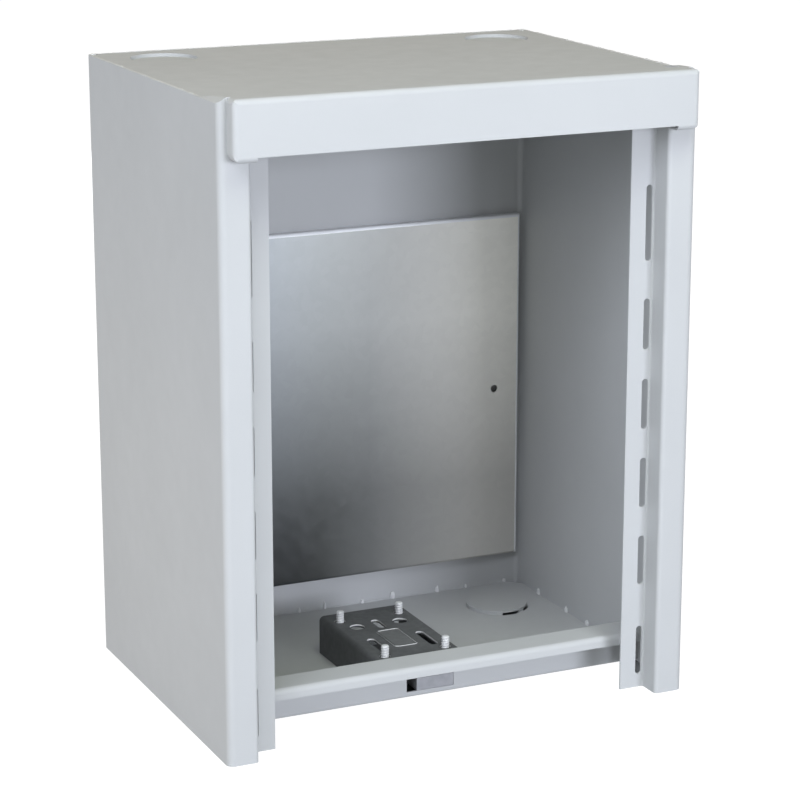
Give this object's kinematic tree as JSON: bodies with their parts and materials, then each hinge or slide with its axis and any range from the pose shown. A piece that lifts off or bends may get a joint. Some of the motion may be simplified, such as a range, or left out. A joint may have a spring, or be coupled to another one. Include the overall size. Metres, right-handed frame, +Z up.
{
  "type": "roadside utility cabinet",
  "caption": "Open-front roadside cabinet of folded, coated sheet steel, with slotted door jambs, a drip-cap header, a raised front ledge, a galvanised mounting plate and a stud bracket.",
  "frame": {"origin": "on the ground, in the middle of the footprint, with the header counted in the depth", "axes": "+Z up, the open front faces -Y, +X to the right seen from the front"},
  "size_m": [0.47, 0.3664, 0.605],
  "materials": {
    "coated_sheet": "light grey satin powder coat",
    "galvanised_sheet": "bare galvanised, faint spangle",
    "dark_bracket": "dark grey, matt",
    "plated_steel": "zinc plated"
  },
  "bodies": {
    "root": {"shell": "coated_sheet", "roof": "coated_sheet", "header": "coated_sheet", "floor_tray": "coated_sheet", "mounting_plate": "galvanised_sheet", "stud_bracket": "dark_bracket", "bracket_studs": "plated_steel", "lock_keeper": "plated_steel"}
  },
  "joints": []
}
